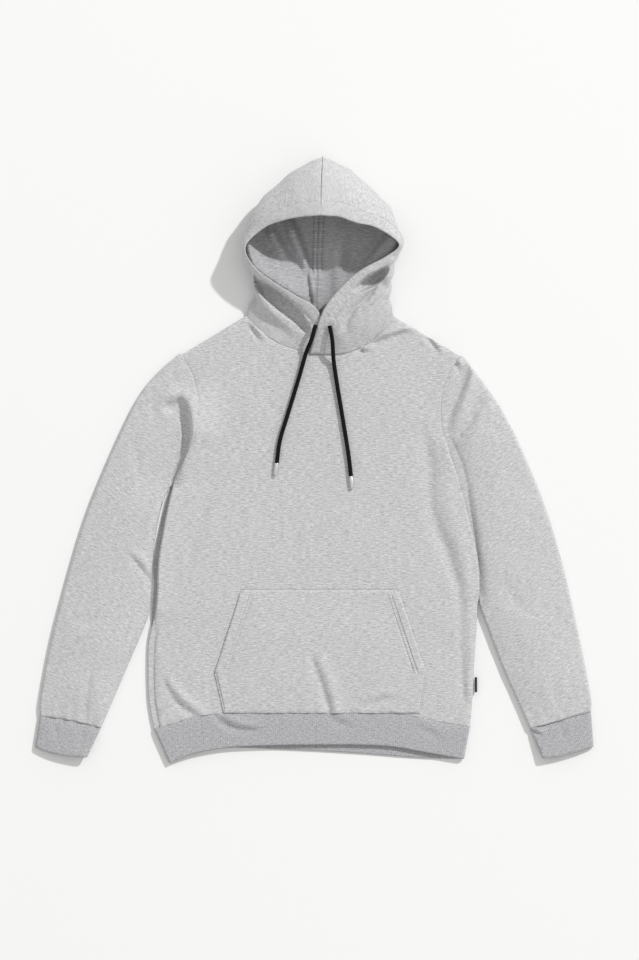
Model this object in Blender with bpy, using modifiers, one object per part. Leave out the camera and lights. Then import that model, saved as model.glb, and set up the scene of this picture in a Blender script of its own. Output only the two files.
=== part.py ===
"""A pullover hoodie laid flat on its back: heather fleece panels, rib cuffs and hem, open hood, drawcord ends.

X runs across the garment, +Y to the hood, +Z up, and the back lies on the surface at z = 0. Left and right are as
seen from above with the hood at the top. Tables and sizes are in millimetres; meshes are in metres.
"""

from collections import namedtuple

import bmesh
import bpy
import numpy as np

MM = 0.001

# Cloth
WALL = 2.6  # thickness of the fleece
GAP = 0.4  # between pieces that are sewn together on a straight seam
CURVED_GAP = 1.0  # on a curved seam
NECK_GAP = 2.8  # along Y at the neck, whose seam runs slantwise
HOOD_GAP = 2.0  # along X between the halves of the hood
HOLLOW = 3.4  # clear height between the layers of the body and the sleeves
LAID = 2 * WALL + HOLLOW  # height of a laid tube
SEAM_TOP = 2 * WALL + GAP  # top of the front panel where it meets the back one
ROLL = 12.0  # how far a closed edge takes to round down

# Trimmings
CORD = 6.6  # diameter of the drawcord
AGLET = 6.8  # diameter of its metal tip
AGLET_LENGTH = 20.0
LABEL_SIZE = (4.4, 24.0, 1.2)
LABEL_PLACE = (258.9, -363.0, 4.6)

# The outline's lowest and highest points are not the same distance from the table's datum, which this evens out.
CENTRE_Y = -3.5

Row = namedtuple("Row", "seam floor side top lap edge")

# Each half of the hood has a row for each section, from the neck seam up and over to the crown seam. A section runs
# from the back seam along the surface, up the side, over its top and across the lap to the front edge.
HOOD_LEFT = (
    Row((2, 217, 0), (-60, 219, 0), (-108, 229, 4), (-80, 200, 9), (-38, 177, 9), (20, 167, 8)),
    Row((3, 246, 0), (-64, 246, 0), (-102, 249, 12), (-86, 234, 20), (-42, 208, 22), (8, 234, 30)),
    Row((4, 278, 0), (-66, 274, 0), (-96, 272, 18), (-90, 264, 30), (-64, 250, 33), (-30, 261, 41)),
    Row((5, 310, 0), (-70, 300, 0), (-96, 294, 22), (-95, 288, 36), (-82, 280, 44), (-62, 280, 49)),
    Row((6, 345, 0), (-76, 330, 0), (-106, 320, 24), (-109, 315, 40), (-105, 309, 50), (-95, 306, 54)),
    Row((7, 385, 0), (-78, 362, 0), (-112, 348, 26), (-116, 343, 44), (-114, 340, 56), (-109, 337, 61)),
    Row((8, 420, 0), (-68, 398, 2), (-102, 387, 27), (-101, 379, 50), (-92, 371, 65), (-80, 366, 71)),
    Row((9, 448, 0), (-48, 432, 5), (-79, 421, 30), (-77, 405, 60), (-64, 388, 77), (-48, 378, 83)),
    Row((11, 472, 4), (-18, 468, 14), (-42, 453, 37), (-40, 431, 69), (-31, 405, 86), (-20, 383, 92)),
    Row((13, 480, 12), (-7, 480, 29), (-14, 459, 60), (-15, 433, 80), (-11, 406, 91), (-5, 384, 96)),
    Row((14, 482, 22), (13, 475, 48), (12, 456, 72), (11, 433, 86), (10.5, 408, 94), (10, 385, 98)),
)
HOOD_RIGHT = (
    Row((2, 217, 0), (66, 219, 0), (127, 229, 4), (100, 194, 9), (48, 168, 10), (-8, 168, 13)),
    Row((3, 246, 0), (70, 246, 0), (122, 250, 12), (106, 228, 22), (58, 208, 29), (14, 236, 38)),
    Row((4, 278, 0), (86, 272, 0), (122, 275, 18), (115, 263, 31), (86, 250, 38), (46, 277, 46)),
    Row((5, 310, 0), (92, 302, 0), (126, 302, 22), (122, 293, 37), (104, 285, 46), (78, 303, 52)),
    Row((6, 345, 0), (96, 335, 0), (132, 328, 24), (132, 322, 40), (126, 317, 50), (112, 321, 55)),
    Row((8, 385, 0), (98, 370, 0), (138, 353, 26), (141, 348, 44), (139, 344, 56), (134.5, 341, 61)),
    Row((9, 420, 0), (88, 408, 2), (120, 402, 27), (121, 389, 50), (111, 373, 68), (100, 366, 75)),
    Row((10, 448, 0), (66, 440, 5), (92, 432, 30), (91, 413, 60), (79, 391, 79), (66, 374, 87)),
    Row((12, 472, 4), (40, 470, 14), (58, 461, 37), (55, 437, 69), (48, 408, 86), (40, 383, 92)),
    Row((13, 480, 12), (33, 480, 29), (36, 461, 60), (35, 434, 80), (31, 407, 91), (25, 384, 96)),
    Row((14, 482, 22), (13, 475, 48), (12, 456, 72), (11, 433, 86), (10.5, 408, 94), (10, 385, 98)),
)

# Outlines in plan, each from its lower or left end
HEM_SEAM = ((-257, -435), (-190, -414), (-128, -408), (-46, -407), (43, -406), (128, -408), (195, -421), (250, -430))
HEM_FRONT = (
    (-233, -489), (-210, -479), (-178, -470), (-133, -463), (-64, -460), (9, -459), (66, -459), (115, -461),
    (139, -464), (188, -473), (240, -482),
)
HEM_BACK = (
    (-233, -489), (-208, -478), (-178, -470), (-133, -464), (-64, -466), (9, -469), (90, -474), (140, -478),
    (190, -481), (240, -482),
)
SIDE_LEFT = (
    (-257, -435), (-262, -411), (-266, -378), (-267, -322), (-265, -278), (-259, -243), (-252, -205), (-250, -161),
    (-238, -90), (-224, -31),
)
SIDE_RIGHT = ((250, -430), (254, -378), (258, -306), (262, -227), (259, -161), (246, -100), (228, -31))
BACK_LEFT = (
    (-257, -435), (-260, -411), (-263, -378), (-264, -322), (-262, -278), (-260, -243), (-257, -205), (-257, -161),
    (-242, -85), (-224, -31),
)
ARMHOLE_LEFT = ((-224, -31), (-206, 2), (-190, 38), (-185, 72), (-187, 105), (-197, 140), (-213, 166))
ARMHOLE_RIGHT = ((228, -31), (214, 10), (205, 48), (203, 84), (208, 117), (219, 143), (236, 163))
SLEEVE_LEFT_OUTER = (
    (-440, -414), (-440, -389), (-428, -318), (-413, -254), (-390, -168), (-363, -82),
    (-326, 8), (-288, 88), (-256, 133), (-216, 169),
)
SLEEVE_LEFT_INNER = (
    (-342, -432), (-320, -381), (-299, -332), (-274, -264), (-262, -225), (-259.5, -161), (-247, -80), (-228, -36),
)
SLEEVE_RIGHT_OUTER = (
    (444, -407), (444, -385), (433, -325), (416, -245), (397, -165), (370, -76), (332, 16), (300, 79),
    (270, 123), (239, 164),
)
SLEEVE_RIGHT_INNER = (
    (345, -433), (325, -388), (303, -338), (281, -280), (264, -227), (260, -161), (247, -100), (229, -33),
)
CUFF_SEAM_LEFT = ((-440, -414), (-418, -416), (-393, -420), (-367, -426), (-342, -432))
CUFF_END_LEFT = ((-448, -463), (-430, -470), (-405, -476), (-364, -479))
CUFF_SEAM_RIGHT = ((345, -433), (370, -427), (395, -420), (420, -412), (444, -407))
CUFF_END_RIGHT = ((366, -481), (395, -477), (424, -470), (448, -462))

# Outline of the kangaroo pocket: height of each corner and the pocket's two sides there
Corner = namedtuple("Corner", "height left right")
POCKET = (
    Corner(-408.5, -145, 170),
    Corner(-344, -160, 180),
    Corner(-208, -116, 134),
)

# Routes of the drawcord ends on the front, from the eyelet down, with the height of the cord above what it lies on
Stop = namedtuple("Stop", "x y lift")
CORD_LEFT = (
    Stop(2, 211, 2), Stop(-4, 190, 4), Stop(-12.5, 171, 4), Stop(-25, 128, 0), Stop(-42, 72, 0), Stop(-55, 29, 0),
    Stop(-60, -8, 0),
)
CORD_RIGHT = (
    Stop(24.5, 210, 2), Stop(29, 190, 5), Stop(30, 171, 8), Stop(31.5, 153, 3), Stop(38, 110, 0), Stop(48, 50, 0),
    Stop(55, 5, 0), Stop(59, -29, 0),
)


def smooth(points, before=None, steps=12):
    """A line through the points as a dense array: a Catmull-Rom curve that passes each of them.

    The place before the first point sets the line's direction there.
    """
    knots = np.array(points, float)
    before = 2 * knots[0] - knots[1] if before is None else before
    ends = np.vstack([before, knots, 2 * knots[-1] - knots[-2]])
    t = np.linspace(0, 1, steps, endpoint=False)[:, None]
    runs = [
        0.5 * (2 * b + (c - a) * t + (2 * a - 5 * b + 4 * c - d) * t**2 + (3 * b - a - 3 * c + d) * t**3)
        for a, b, c, d in zip(ends, ends[1:], ends[2:], ends[3:])
    ]
    return np.vstack([*runs, knots[-1:]])


def by_share(line):
    """A function that gives the place on the line at each share of its length."""
    run = np.concatenate([[0], np.cumsum(np.linalg.norm(np.diff(line, axis=0), axis=1))])
    return lambda share: np.stack([np.interp(share, run / run[-1], axis) for axis in line.T], -1)


def patch(bottom, top, left, right):
    """The plan inside four lines, as a function of u (left to right) and v (bottom to top)."""
    low, high, start, end = by_share(bottom), by_share(top), by_share(left), by_share(right)

    def place(u, v):
        a, b = u[:, None], v[:, None]
        across = (1 - b) * low(u) + b * high(u)
        along = (1 - a) * start(v) + a * end(v)
        twice = (1 - a) * (1 - b) * low(0) + a * (1 - b) * low(1) + (1 - a) * b * high(0) + a * b * high(1)
        return across + along - twice

    return place


def beside(line, gap):
    """The line moved sideways by the gap, to the right of its own direction."""
    along = np.gradient(line, axis=0)
    along /= np.linalg.norm(along, axis=1)[:, None]
    return line + gap * np.column_stack([along[:, 1], -along[:, 0]])


def distance(plan, lines):
    """How far each place in plan is from the nearest of the lines."""
    near = np.full(len(plan), np.inf)
    for line in lines:
        for place in by_share(line)(np.linspace(0, 1, 120)):
            near = np.minimum(near, np.hypot(*(plan - place).T))
    return near


def rounded(share):
    """A quarter circle: 0 at an edge, 1 from where the share of the roll reaches 1."""
    return np.sqrt(1 - (1 - np.clip(share, 0, 1)) ** 2)


def close_at_ends(share):
    """The same share of a width, with more of the places near its two ends."""
    return 0.5 - 0.5 * np.cos(np.pi * share)


def close_at_sides(share):
    """Shares of the body's width, with a tenth of the places inside the roll at each side."""
    return np.interp(share, (0, 0.1, 0.9, 1), (0, 0.022, 0.978, 1))


def close_at_armholes(share):
    """Shares of the body's length, with most of the places above the underarm."""
    return np.interp(share, (0, 0.4, 1), (0, 0.66, 1))


# Hood


def hood_section(row):
    """One section as a dense line, level where it leaves the back seam, as the other half's is."""
    x, y, z = row.floor
    return smooth(row, before=(2 * row.seam[0] - x, y, z))


def hood_surface(rows):
    """The outside of half the hood as a function of a (back seam to front edge) and b (neck seam to crown seam)."""
    sections = [by_share(hood_section(row)) for row in rows]

    def place(a, b):
        stations = np.stack([section(a) for section in sections])
        position = np.clip(b, 0, 1) * (len(rows) - 1)
        first = np.minimum(position.astype(int), len(rows) - 2)
        t = (position - first)[:, None]
        pick = np.arange(len(a))
        b0, b1 = stations[first, pick], stations[first + 1, pick]
        before = np.where(first[:, None] > 0, stations[np.maximum(first - 1, 0), pick], 2 * b0 - b1)
        last = len(rows) - 1
        across_crown = b0 * (-1, 1, 1) + b1 * (2, 0, 0)
        after = np.where(first[:, None] + 2 <= last, stations[np.minimum(first + 2, last), pick], across_crown)
        blend = 2 * b0 + (b1 - before) * t + (2 * before - 5 * b0 + 4 * b1 - after) * t**2
        surface = 0.5 * (blend + (3 * b0 - before - 3 * b1 + after) * t**3)
        return np.maximum(surface, (-np.inf, -np.inf, 0))

    return place


def neck_line(part):
    """The neck seam in plan on the front or the back of the body, left to right, just clear of the hood."""
    shares = np.linspace(0, 1, 81)
    halves = []
    for rows in (HOOD_LEFT, HOOD_RIGHT):
        line = by_share(hood_section(rows[0]))(shares)
        turn = int(np.argmax(np.abs(line[:, 0] - rows[0].seam[0])))
        halves.append(line[turn:, :2] if part == "front" else line[turn::-1, :2])
    left, right = halves
    lapped = left[left[:, 0] < right[:, 0].min() - GAP]
    joined = np.vstack([lapped, right[::-1]]) if part == "front" else np.vstack([left, right[::-1]])
    return joined - (0, NECK_GAP)


# Body


def top_line(part):
    """Left shoulder seam, neck seam and right shoulder seam as one line."""
    return np.vstack([[ARMHOLE_LEFT[-1]], neck_line(part), [ARMHOLE_RIGHT[-1]]])


def shoulder_lines():
    """The two shoulder seams."""
    neck = neck_line("front")
    return [np.array([ARMHOLE_LEFT[-1], neck[0]]), np.array([ARMHOLE_RIGHT[-1], neck[-1]])]


def front_height(plan):
    """Height of the front panel's outside over each place in plan: level, and rounded down at its closed edges."""
    closed = [smooth(SIDE_LEFT), smooth(SIDE_RIGHT), *shoulder_lines()]
    return SEAM_TOP + (LAID - SEAM_TOP) * rounded(distance(plan, closed) / ROLL)


def front_place(u, v):
    left = np.vstack([smooth(SIDE_LEFT), smooth(ARMHOLE_LEFT)[1:]])
    right = np.vstack([smooth(SIDE_RIGHT), smooth(ARMHOLE_RIGHT)[1:]])
    plan = patch(smooth(HEM_SEAM), top_line("front"), left, right)(close_at_sides(u), close_at_armholes(v))
    return np.column_stack([plan, front_height(plan)])


def back_place(u, v):
    """The back panel's outside lies on the surface, so its rows run the other way for it to face down."""
    left = np.vstack([smooth(BACK_LEFT), smooth(ARMHOLE_LEFT)[1:]])
    right = np.vstack([smooth(SIDE_RIGHT), smooth(ARMHOLE_RIGHT)[1:]])
    plan = patch(smooth(HEM_SEAM), top_line("back"), left, right)(1 - u, close_at_armholes(v))
    return np.column_stack([plan, np.zeros(len(plan))])


def pocket_place(u, v):
    """The front panel's own surface inside the pocket's outline, moved out by the pocket's thickness."""
    heights = [corner.height for corner in POCKET]
    y = heights[0] + (heights[-1] - heights[0]) * v
    left = np.interp(y, heights, [corner.left for corner in POCKET])
    right = np.interp(y, heights, [corner.right for corner in POCKET])
    plan = np.column_stack([left + (right - left) * u, y])
    return np.column_stack([plan, front_height(plan) + GAP + WALL])


# Tubes laid flat


def laid_tube(front, back, height):
    """The outside of a flattened tube as a function of its round (top, then underside) and its length."""

    def place(round_share, v):
        ends = [front(np.full_like(v, u), v) for u in (0.0, 1.0)]
        width = np.hypot(*(ends[1] - ends[0]).T)
        radius = height / 2
        turn = np.pi * radius
        half = width - height + turn
        on_top = round_share < 0.5
        run = np.where(on_top, round_share, round_share - 0.5) * 2 * half
        angle_in = np.clip(run, 0, turn / 2) / radius
        angle_out = np.clip(run - (half - turn / 2), 0, turn / 2) / radius
        flat = np.clip(run - turn / 2, 0, width - height)
        across = radius * (1 - np.cos(angle_in)) + flat + radius * np.sin(angle_out)
        above = radius * (np.sin(angle_in) - (1 - np.cos(angle_out)))
        share = np.clip(across / width, 0, 1)
        share = np.where(on_top, share, 1 - share)
        plan = np.where(on_top[:, None], front(share, v), back(share, v))
        return np.column_stack([plan, radius + np.where(on_top, above, -above)])

    return place


def close_at_folds(share):
    """The same share of a tube's round, with more of the places near its two folds."""
    on_top = share < 0.5
    return close_at_ends(np.where(on_top, share, share - 0.5) * 2) / 2 + np.where(on_top, 0, 0.5)


# Meshes


def new_piece(name, place, columns, rows, material, closed=False, wall=WALL, spacing=None):
    """A cloth piece: a grid bent to its outside by place, then given its thickness on the inside."""
    bm = bmesh.new()
    bmesh.ops.create_grid(bm, x_segments=columns, y_segments=rows, size=0.5)
    grid = np.array([vertex.co[:2] for vertex in bm.verts]) + 0.5
    across = spacing(grid[:, 0]) if spacing else grid[:, 0]
    for vertex, point in zip(bm.verts, place(across, grid[:, 1])):
        vertex.co = point * MM
    if closed:
        bmesh.ops.remove_doubles(bm, verts=bm.verts, dist=0.01 * MM)
    mesh = bpy.data.meshes.new(name)
    bm.to_mesh(mesh)
    bm.free()
    mesh.shade_smooth()
    piece = bpy.data.objects.new(name, mesh)
    thickness = piece.modifiers.new("Wall", "SOLIDIFY")
    thickness.thickness = wall * MM
    thickness.offset = -1
    return finish(piece, material)


def finish(piece, material):
    """Gives the piece its material and hangs it from the garment."""
    piece.data.materials.append(material)
    piece.parent = garment
    parts.objects.link(piece)
    return piece


def new_material(name, colour, roughness, metallic=0.0):
    material = bpy.data.materials.new(name)
    material.use_nodes = True
    shader = material.node_tree.nodes["Principled BSDF"]
    shader.inputs["Base Color"].default_value = (*colour, 1)
    shader.inputs["Roughness"].default_value = roughness
    shader.inputs["Metallic"].default_value = metallic
    material.diffuse_color = (*colour, 1)
    return material


# Trimmings


def hood_height(plan):
    """Height of the hood's outside near its lap, from the nearest place on either half."""
    a, b = [axis.ravel() for axis in np.meshgrid(np.linspace(0.6, 1, 40), np.linspace(0, 0.3, 40))]
    surface = np.vstack([hood_surface(rows)(a, b) for rows in (HOOD_LEFT, HOOD_RIGHT)])
    nearest = [surface[np.hypot(*(surface[:, :2] - place).T) < 5.0] for place in plan]
    return np.array([found[:, 2].max() if len(found) else 0.0 for found in nearest])


def cord_line(route):
    """Centre line of a drawcord end, on the hood and then on the front panel."""
    plan = np.array([(stop.x, stop.y) for stop in route], float)
    lift = np.array([stop.lift for stop in route])
    below = np.maximum(front_height(plan), hood_height(plan))
    line = smooth(np.column_stack([plan, below + lift + CORD / 2 + 2 * GAP]))
    steps = int(np.linalg.norm(np.diff(line, axis=0), axis=1).sum() / (2.2 * CORD))
    return by_share(line)(np.linspace(0, 1, steps + 1))


def new_cord(name, line, material):
    curve = bpy.data.curves.new(name, "CURVE")
    curve.dimensions = "3D"
    curve.bevel_depth = CORD / 2 * MM
    curve.bevel_resolution = 2
    curve.use_fill_caps = True
    spline = curve.splines.new("POLY")
    spline.points.add(len(line) - 1)
    for point, place in zip(spline.points, line):
        point.co = (*(place * MM), 1)
    return finish(bpy.data.objects.new(name, curve), material)


def new_aglet(name, line, material):
    """The metal tip past the end of a drawcord, along its last stretch but level."""
    direction = line[-1] - line[-2]
    direction[2] = 0
    direction /= np.linalg.norm(direction)
    centre = line[-1] + direction * (AGLET_LENGTH / 2 + GAP)
    centre[2] += (AGLET - CORD) / 2
    bm = bmesh.new()
    radius = AGLET / 2 * MM
    bmesh.ops.create_cone(
        bm, cap_ends=True, segments=12, radius1=radius, radius2=radius, depth=AGLET_LENGTH * MM
    )
    mesh = bpy.data.meshes.new(name)
    bm.to_mesh(mesh)
    bm.free()
    piece = bpy.data.objects.new(name, mesh)
    piece.location = centre * MM
    piece.rotation_euler = (np.pi / 2, 0, np.arctan2(direction[0], -direction[1]))
    edge = piece.modifiers.new("Edge", "BEVEL")
    edge.width = 0.5 * MM
    edge.segments = 1
    edge.limit_method = "ANGLE"
    return finish(piece, material)


def new_label(name, material):
    bm = bmesh.new()
    bmesh.ops.create_cube(bm, size=1)
    bmesh.ops.scale(bm, verts=bm.verts, vec=np.array(LABEL_SIZE) * MM)
    mesh = bpy.data.meshes.new(name)
    bm.to_mesh(mesh)
    bm.free()
    piece = bpy.data.objects.new(name, mesh)
    piece.location = np.array(LABEL_PLACE) * MM
    return finish(piece, material)


for old in list(bpy.data.objects):
    bpy.data.objects.remove(old)
parts = bpy.data.collections.new("pullover_hoodie")
bpy.context.scene.collection.children.link(parts)
garment = bpy.data.objects.new("garment", None)
garment.location.y = -CENTRE_Y * MM
parts.objects.link(garment)

fleece = new_material("fleece", (0.58, 0.58, 0.59), 0.9)
rib = new_material("rib", (0.42, 0.42, 0.44), 0.9)
drawcord = new_material("drawcord", (0.012, 0.012, 0.013), 0.8)
steel = new_material("steel", (0.75, 0.75, 0.74), 0.25, 1.0)
label = new_material("label", (0.015, 0.015, 0.017), 0.7)

new_piece("back_panel", back_place, 16, 15, fleece)
new_piece("front_panel", front_place, 28, 16, fleece)
new_piece("pocket", pocket_place, 8, 7, fleece)

sleeves = (
    ("sleeve_left", CUFF_SEAM_LEFT, ARMHOLE_LEFT[::-1], SLEEVE_LEFT_OUTER, SLEEVE_LEFT_INNER),
    ("sleeve_right", CUFF_SEAM_RIGHT, ARMHOLE_RIGHT, SLEEVE_RIGHT_INNER, SLEEVE_RIGHT_OUTER),
)
for name, low, high, left, right in sleeves:
    armhole = beside(smooth(high), -CURVED_GAP)
    plan = patch(smooth(low), armhole, smooth(left), smooth(right))
    new_piece(name, laid_tube(plan, plan, LAID), 24, 11, fleece, closed=True, spacing=close_at_folds)

cuffs = (
    ("cuff_left", CUFF_END_LEFT, CUFF_SEAM_LEFT),
    ("cuff_right", CUFF_END_RIGHT, CUFF_SEAM_RIGHT),
)
for name, end, seam in cuffs:
    low, high = smooth(end), beside(smooth(seam), CURVED_GAP)
    plan = patch(low, high, np.array([low[0], high[0]]), np.array([low[-1], high[-1]]))
    new_piece(name, laid_tube(plan, plan, LAID), 20, 2, rib, closed=True, spacing=close_at_folds)

seam = beside(smooth(HEM_SEAM), CURVED_GAP)
bands = []
for end in (smooth(HEM_FRONT), smooth(HEM_BACK)):
    bands.append(patch(end, seam, np.array([end[0], seam[0]]), np.array([end[-1], seam[-1]])))
new_piece("hem_band", laid_tube(*bands, LAID), 36, 2, rib, closed=True, spacing=close_at_folds)

for name, rows, side in (("hood_left", HOOD_LEFT, -1), ("hood_right", HOOD_RIGHT, 1)):
    surface = hood_surface(rows)
    half = lambda a, b: surface(a**1.2, 1 - (1 - b) ** 1.3) + np.array((side * HOOD_GAP / 2, 0, 0))
    flipped = lambda a, b: half(1 - a, b)
    new_piece(name, half if side < 0 else flipped, 16, 15, fleece)

for side, route in (("left", CORD_LEFT), ("right", CORD_RIGHT)):
    line = cord_line(route)
    new_cord(f"drawcord_{side}", line, drawcord)
    new_aglet(f"aglet_{side}", line, steel)
new_label("side_label", label)
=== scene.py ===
# %% [markdown]
# # A pullover hoodie, laid flat
#
# This lesson dresses a laid-out hoodie in its cloth. The solids of its pieces are already there as a fixed
# frame: front, back, pocket, sleeves, cuffs, hem band, two halves of a hood and the ends of a drawcord.
# Each is replaced by a thin shell of the same form, fine enough to carry creases, and gets the knit that it
# is really made of. Sizes in the tables are in millimetres, as a pattern cutter would write them, and
# meshes are in metres.

# %% Load the frame
from collections import namedtuple

import bmesh
import bpy
import numpy as np
from mathutils import Matrix, Vector, noise


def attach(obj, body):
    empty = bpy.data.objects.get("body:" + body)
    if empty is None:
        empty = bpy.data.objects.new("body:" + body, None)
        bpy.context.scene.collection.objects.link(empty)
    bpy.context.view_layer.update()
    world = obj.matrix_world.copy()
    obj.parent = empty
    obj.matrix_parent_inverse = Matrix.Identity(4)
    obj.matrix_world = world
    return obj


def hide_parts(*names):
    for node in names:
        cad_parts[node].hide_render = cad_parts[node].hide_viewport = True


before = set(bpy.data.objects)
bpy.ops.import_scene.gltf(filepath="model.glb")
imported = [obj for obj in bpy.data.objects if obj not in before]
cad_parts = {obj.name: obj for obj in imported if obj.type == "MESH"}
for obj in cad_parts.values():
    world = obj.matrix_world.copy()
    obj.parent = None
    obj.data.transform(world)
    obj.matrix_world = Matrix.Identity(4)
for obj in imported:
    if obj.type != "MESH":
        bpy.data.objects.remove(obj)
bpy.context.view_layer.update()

MM = 0.001

# %% [markdown]
# ## Camera, floor and light
#
# The garment is shown from straight above, so the camera looks down from far enough that the standing hood
# hardly grows. A lamp far off, up and to the right, gives each fold a pale side and a shadow somewhat
# longer than the fold is high, and the white surroundings fill the shadows in, as walls of a studio do.

# %% Camera
CAMERA_PLACE = Vector((0.0084, -0.0310, 8.0))
SEEN_HEIGHT = 1.541  # of the floor, in metres


def put_in(name, data, *materials):
    """A new object in the scene, with its data and materials."""
    item = bpy.data.objects.new(name, data)
    bpy.context.scene.collection.objects.link(item)
    for material in materials:
        data.materials.append(material)
    return item


camera = put_in("camera", bpy.data.cameras.new("camera"))
camera.location = CAMERA_PLACE
camera.data.sensor_fit = "VERTICAL"
camera.data.sensor_height = 24.0
camera.data.lens = 24.0 * CAMERA_PLACE.z / SEEN_HEIGHT
bpy.context.scene.camera = camera
print(f"camera: {camera.data.lens:.1f} mm lens, {CAMERA_PLACE.z} m up")


# %% Lamp and surroundings
def soft_lamp(name, place, size, power, aim=(0, 0, 0)):
    """A square lamp that points at a place."""
    light = bpy.data.lights.new(name, "AREA")
    light.size = size
    light.energy = power
    lamp = put_in(name, light)
    lamp.location = place
    lamp.rotation_euler = (Vector(aim) - Vector(place)).to_track_quat("-Z", "Y").to_euler()
    return lamp


soft_lamp("key", (14.4, 14.8, 16.0), 1.0, 4720)
world = bpy.data.worlds.new("studio")
world.use_nodes = True
world.node_tree.nodes["Background"].inputs["Color"].default_value = (1.0, 1.0, 1.0, 1)
world.node_tree.nodes["Background"].inputs["Strength"].default_value = 0.655
bpy.context.scene.world = world
bpy.context.scene.view_settings.view_transform = "Standard"

# %% [markdown]
# ## Colours and nodes
#
# Colours are picked as they look on a screen, as hex, and turned to the linear values that a shader adds
# up. One helper adds a node with its settings and links, so that each material below reads as a list of its
# layers.


# %% Helpers for materials
def linear(hex_colour):
    """Linear red, green, blue and alpha of an sRGB hex colour."""
    parts = [int(hex_colour[i : i + 2], 16) / 255 for i in (1, 3, 5)]
    return [p / 12.92 if p <= 0.04045 else ((p + 0.055) / 1.055) ** 2.4 for p in parts] + [1.0]


def add(tree, kind, links=None, **settings):
    """A node with its settings; links maps an input to a value or to another node's output."""
    node = tree.nodes.new(kind)
    for name, value in settings.items():
        setattr(node, name, value)
    for socket, value in (links or {}).items():
        if isinstance(value, bpy.types.NodeSocket):
            tree.links.new(value, node.inputs[socket])
        else:
            node.inputs[socket].default_value = value
    return node


def new_material(name, looks):
    """A Principled material, its node tree and its shader; looks maps the shader's inputs to their values."""
    material = bpy.data.materials.new(name)
    material.use_nodes = True
    shader = material.node_tree.nodes["Principled BSDF"]
    for socket, value in looks.items():
        shader.inputs[socket].default_value = value
    return material, material.node_tree, shader


def add_bump(tree, shader, height, strength, distance):
    """Roughens the shader with a height from 0 to 1 that stands for the distance in metres."""
    bump = add(tree, "ShaderNodeBump", {"Height": height, "Strength": strength, "Distance": distance})
    tree.links.new(bump.outputs["Normal"], shader.inputs["Normal"])


def finished(name, bm):
    """The mesh that was built in bm, with smooth shading."""
    mesh = bpy.data.meshes.new(name)
    bm.to_mesh(mesh)
    bm.free()
    mesh.shade_smooth()
    return mesh


# %% [markdown]
# ## The floor
#
# A pale matt surface much larger than the view, just under the cloth.

# %% Floor
FLOOR_HALF = 6  # half its width, in metres
FLOOR_DROP = 0.4 * MM  # below the cloth, so that the two never share a plane

# matt card: no gloss, so its shade is all shadow
matt = {"Base Color": linear("#F0F0EF"), "Roughness": 0.95, "Specular IOR Level": 0.1}
paper = new_material("matt_white_paper", matt)[0]
bm = bmesh.new()
bmesh.ops.create_grid(bm, x_segments=1, y_segments=1, size=FLOOR_HALF)
bmesh.ops.translate(bm, verts=bm.verts, vec=(0, 0, -FLOOR_DROP))
floor = put_in("floor", finished("floor", bm), paper)

# %% [markdown]
# ## Lines and outlines
#
# Every piece is a grid bent over a form. Its outline is four smooth lines through a few measured places,
# and the inside is blended from them, which is called a Coons patch. A flat pattern piece laid on a table
# is just that: its edges say nearly everything about it.

# %% Outlines in plan, from the lower or left end
HEM_SEAM = (
    (-257, -435), (-190, -414), (-128, -408), (-46, -407), (43, -406), (128, -408), (195, -421), (250, -430),
)
HEM_FRONT = (
    (-233, -489), (-210, -479), (-178, -470), (-133, -463), (-64, -460), (9, -459), (66, -459), (115, -461),
    (139, -464), (188, -473), (240, -482),
)
HEM_BACK = (
    (-233, -489), (-208, -478), (-178, -470), (-133, -464), (-64, -466), (9, -469), (90, -474), (140, -478),
    (190, -481), (240, -482),
)
SIDE_LEFT = (
    (-257, -435), (-262, -411), (-266, -378), (-267, -322), (-265, -288), (-258, -260), (-254, -236),
    (-252, -205), (-250, -161), (-238, -90), (-224, -31),
)
SIDE_RIGHT = ((250, -430), (254, -378), (258, -306), (262, -227), (259, -161), (246, -100), (228, -31))
BACK_LEFT = (
    (-257, -435), (-260, -411), (-263, -378), (-264, -322), (-262, -278), (-260, -243), (-257, -205),
    (-257, -161), (-242, -85), (-224, -31),
)
ARMHOLE_LEFT = ((-224, -31), (-206, 2), (-190, 38), (-185, 72), (-187, 105), (-197, 140), (-213, 166))
ARMHOLE_RIGHT = ((228, -31), (214, 10), (205, 48), (203, 84), (208, 117), (219, 143), (236, 163))
SLEEVE_LEFT_OUTER = (
    (-440, -414), (-440, -389), (-428, -318), (-413, -254), (-390, -168), (-363, -82),
    (-326, 8), (-288, 88), (-256, 133), (-216, 169),
)
SLEEVE_LEFT_INNER = (
    (-342, -432), (-320, -381), (-299, -332), (-269, -260), (-262, -225), (-259, -161), (-246, -80),
    (-226, -35),
)
SLEEVE_RIGHT_OUTER = (
    (444, -407), (444, -385), (433, -325), (416, -245), (397, -165), (370, -76), (332, 16), (300, 79),
    (270, 123), (239, 164),
)
SLEEVE_RIGHT_INNER = (
    (345, -433), (325, -388), (303, -338), (281, -280), (264, -227), (260, -161), (247, -100), (229, -33),
)
CUFF_SEAM_LEFT = ((-440, -414), (-418, -416), (-393, -420), (-367, -426), (-342, -432))
CUFF_END_LEFT = ((-448, -463), (-430, -470), (-405, -476), (-364, -479))
CUFF_SEAM_RIGHT = ((345, -433), (370, -427), (395, -420), (420, -412), (444, -407))
CUFF_END_RIGHT = ((366, -481), (395, -477), (424, -470), (448, -462))
CENTRE_Y = -3.5  # the outline's middle from the tables' datum


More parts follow.
